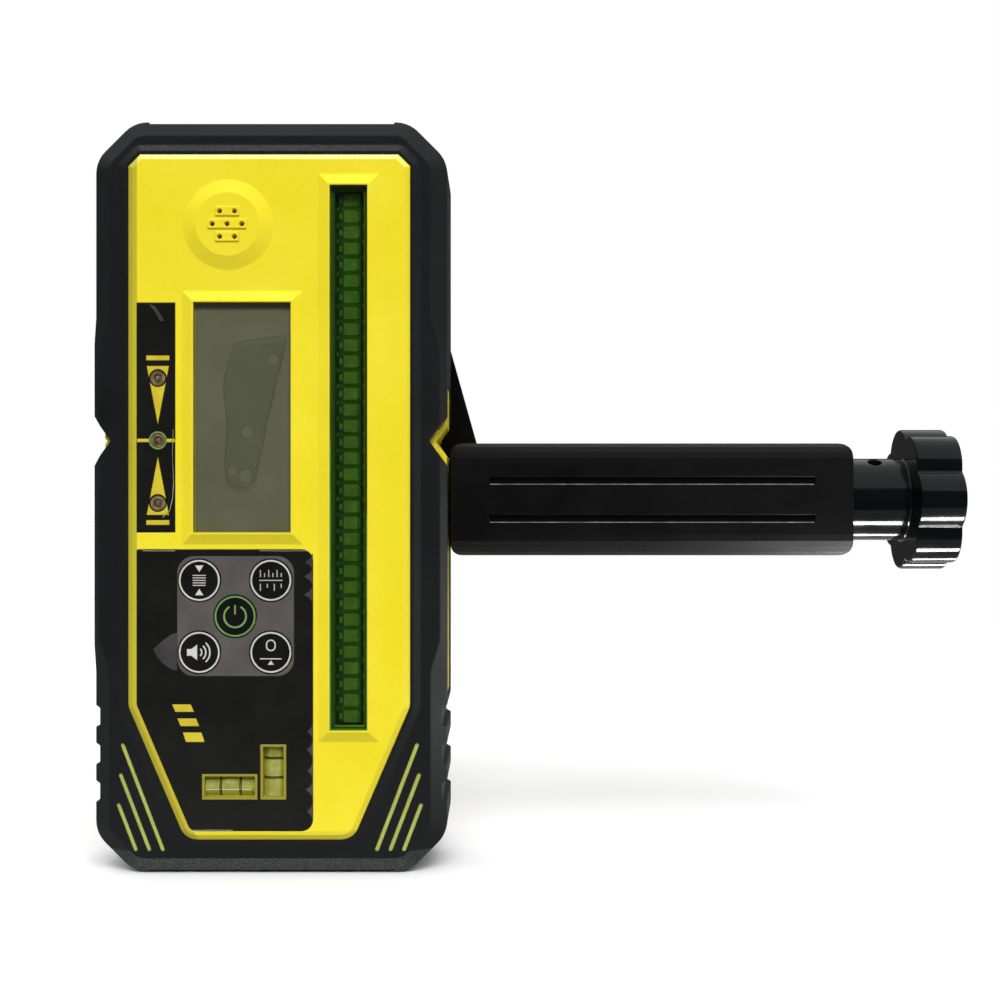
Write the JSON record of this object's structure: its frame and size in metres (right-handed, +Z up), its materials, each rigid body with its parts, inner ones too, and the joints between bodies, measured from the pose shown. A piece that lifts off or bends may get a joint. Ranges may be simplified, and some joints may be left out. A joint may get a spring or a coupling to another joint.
{
  "type": "laser receiver",
  "caption": "Hand-size laser receiver with sensor strip, display, keypad and level vials in a rubber-edged case, on a screw clamp for a levelling staff.",
  "frame": {"origin": "middle of the receiver's foot, on the plane where its two case halves meet", "axes": "+X to the right along the clamp's arm seen from the front, +Y from the front panel to the back, +Z up"},
  "size_m": [0.196, 0.0622, 0.1678],
  "materials": {
    "yellow_case": "satin moulded plastic",
    "black_rubber": "matt",
    "clear_window": "clear acrylic, gloss",
    "lcd_grey": "satin",
    "green_filter": "gloss, dark green",
    "circuit_board": "solder mask",
    "dark_chip": "gloss",
    "steel": "plated",
    "brass": "turned",
    "copper_film": "film",
    "black_label": "gloss film",
    "grey_key": "satin film",
    "lamp_clear": "moulded resin",
    "vial_green": "clear, tinted",
    "white_plastic": "satin",
    "porous_film": "matt",
    "cell_sleeve": "printed sleeve",
    "black_plastic": "fine grain",
    "knob_plastic": "gloss"
  },
  "bodies": {
    "clamp": {"clamp_frame": "black_plastic", "locating_pins": "steel", "arm_cover": "black_plastic", "cover_screws": "steel", "fixed_jaw_pad": "black_rubber", "tail_bush": "brass", "end_bush": "brass", "thrust_washer": "steel"},
    "receiver": {"front_shell": "yellow_case", "front_bumper": "black_rubber", "rear_shell": "yellow_case", "rear_bumper": "black_rubber", "case_seal": "black_rubber", "case_screws": "steel", "display_window": "clear_window", "lcd_panel": "lcd_grey", "sensor_filter": "green_filter", "sensor_board": "circuit_board", "photodiodes": "dark_chip", "main_board": "circuit_board", "board_link": "copper_film", "board_screws": "steel", "buzzer": "dark_chip", "buzzer_membrane": "porous_film", "indicator_label": "black_label", "arrow_lamps": "lamp_clear", "grade_lamp": "lamp_clear", "keypad_overlay": "black_label", "key_domes": "steel", "level_vial": "vial_green", "plumb_vial": "vial_green", "vial_cradle": "white_plastic", "cells": "cell_sleeve", "cell_contacts": "steel", "cell_springs": "steel", "supply_pins": "brass", "clamp_insert": "brass"},
    "mounting_screw": {"mount_screw": "knob_plastic", "mount_clip": "steel"},
    "knob_drive": {"knob": "knob_plastic", "grub_screw": "steel", "lead_screw": "steel", "screw_collar": "steel"},
    "jaw": {"moving_jaw": "black_plastic", "moving_jaw_pad": "black_rubber", "jaw_nut": "brass"},
    "door": {"battery_door": "yellow_case"},
    "key_sensitivity_body": {"key_sensitivity": "grey_key"},
    "key_units_body": {"key_units": "grey_key"},
    "key_power_body": {"key_power": "grey_key"},
    "key_sound_body": {"key_sound": "grey_key"},
    "key_zero_body": {"key_zero": "grey_key"}
  },
  "joints": [
    {"name": "receiver_release", "type": "slide", "parent": "clamp", "child": "receiver", "axis": [0, -1, 0], "range_m": [0, 0.00635]},
    {"name": "mount_screw_turn", "type": "hinge", "parent": "clamp", "child": "mounting_screw", "pos_m": [0, 0.02, 0.09635], "axis": [0, 1, 0], "range_deg": [0, 1801]},
    {"name": "knob_turn", "type": "hinge", "parent": "clamp", "child": "knob_drive", "pos_m": [0.13, 0.008, 0.08335], "axis": [-1, 0, 0], "range_deg": [0, 4141]},
    {"name": "jaw_slide", "type": "slide", "parent": "clamp", "child": "jaw", "axis": [-1, 0, 0], "range_m": [0, 0.046]},
    {"name": "battery_door_hinge", "type": "hinge", "parent": "receiver", "child": "door", "pos_m": [0, 0.0126, 0.0122], "axis": [-1, 0, 0], "range_deg": [0, 75]},
    {"name": "key_sensitivity_press", "type": "slide", "parent": "receiver", "child": "key_sensitivity_body", "axis": [0, 1, 0], "range_m": [0, 0.0003], "stiffness_N_per_m": 1500},
    {"name": "key_units_press", "type": "slide", "parent": "receiver", "child": "key_units_body", "axis": [0, 1, 0], "range_m": [0, 0.0003], "stiffness_N_per_m": 1500},
    {"name": "key_power_press", "type": "slide", "parent": "receiver", "child": "key_power_body", "axis": [0, 1, 0], "range_m": [0, 0.0003], "stiffness_N_per_m": 1500},
    {"name": "key_sound_press", "type": "slide", "parent": "receiver", "child": "key_sound_body", "axis": [0, 1, 0], "range_m": [0, 0.0003], "stiffness_N_per_m": 1500},
    {"name": "key_zero_press", "type": "slide", "parent": "receiver", "child": "key_zero_body", "axis": [0, 1, 0], "range_m": [0, 0.0003], "stiffness_N_per_m": 1500}
  ],
  "couplings": [
    {"joint": "mount_screw_turn", "follows": "receiver_release", "rad_per_m": 4947.4},
    {"joint": "knob_turn", "follows": "jaw_slide", "rad_per_m": 1570.8}
  ]
}
